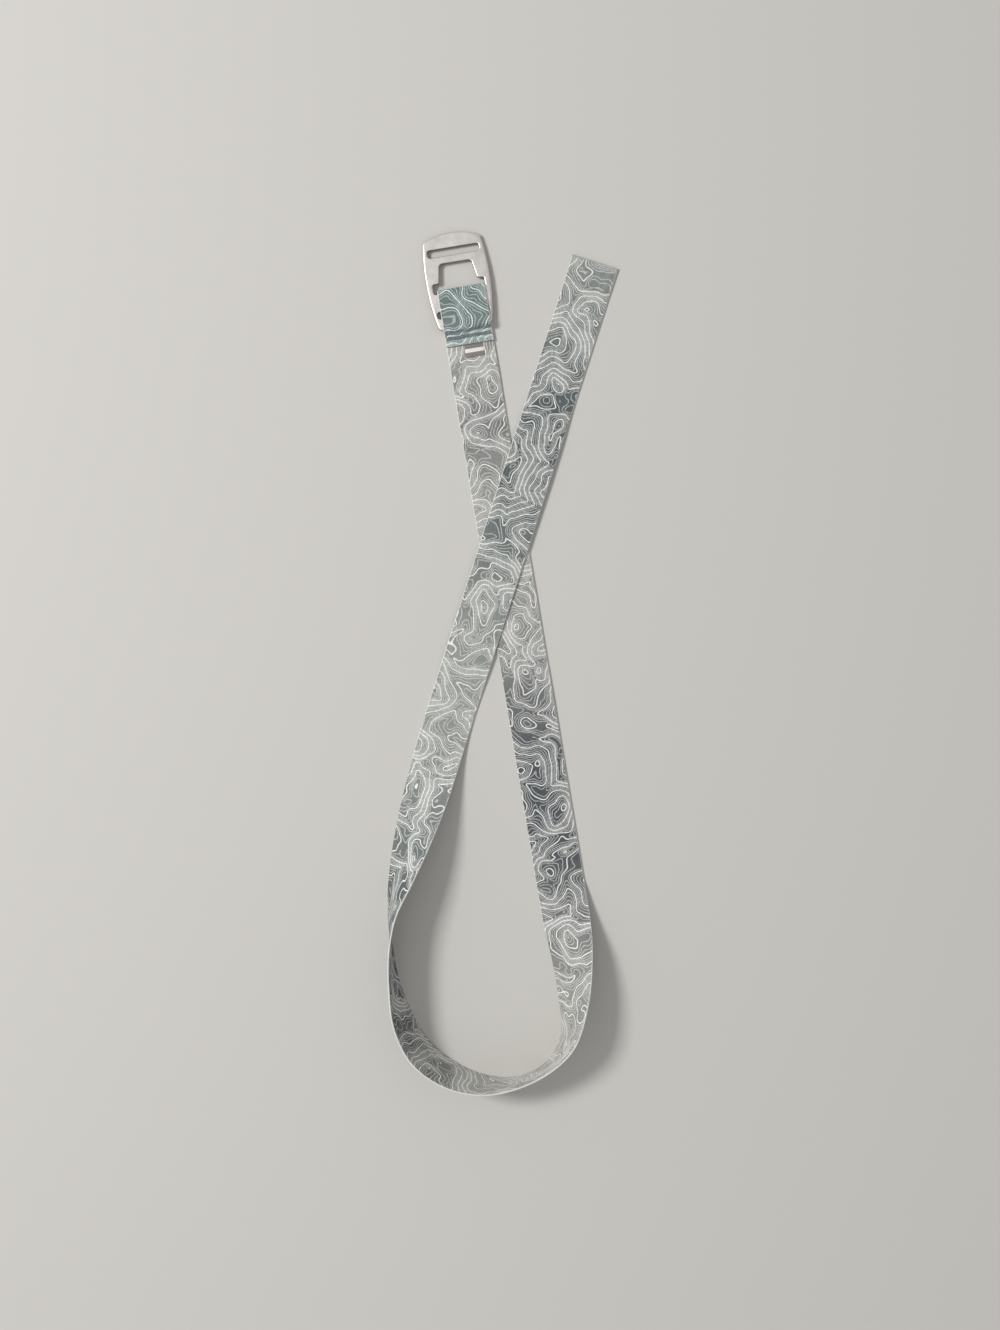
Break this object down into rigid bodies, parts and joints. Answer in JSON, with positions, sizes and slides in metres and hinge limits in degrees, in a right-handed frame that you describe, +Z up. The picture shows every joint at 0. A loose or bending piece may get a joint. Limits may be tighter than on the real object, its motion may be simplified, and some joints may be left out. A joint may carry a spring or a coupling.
{
  "type": "webbing belt with plate buckle",
  "caption": "Woven webbing belt laid in a loose loop, sewn round a flat cast metal plate buckle with a strap slot and an opener-shaped window.",
  "frame": {"origin": "on the surface that the belt rests on, under the crease where the sewn end folds, midway across the webbing", "axes": "+Y along the buckle's strand towards the buckle, +Z up from the surface, +X across the webbing towards the cut end's side"},
  "size_m": [0.2707, 0.6668, 0.038],
  "materials": {
    "cast_plate": "satin cast and tumbled",
    "webbing": "woven polyester, printed on both faces",
    "thread": "dense sewn polyester thread",
    "label": "folded woven label"
  },
  "bodies": {
    "strap": {"strap_webbing": "webbing", "tab_end": "webbing", "bar_tack": "thread", "woven_label": "label"},
    "buckle": {"buckle_plate": "cast_plate", "buckle_loop": "webbing"}
  },
  "joints": [
    {"name": "buckle_fold", "type": "hinge", "parent": "strap", "child": "buckle", "pos_m": [0, 0, 0.003], "axis": [1, 0, 0], "range_deg": [0, 105]}
  ]
}
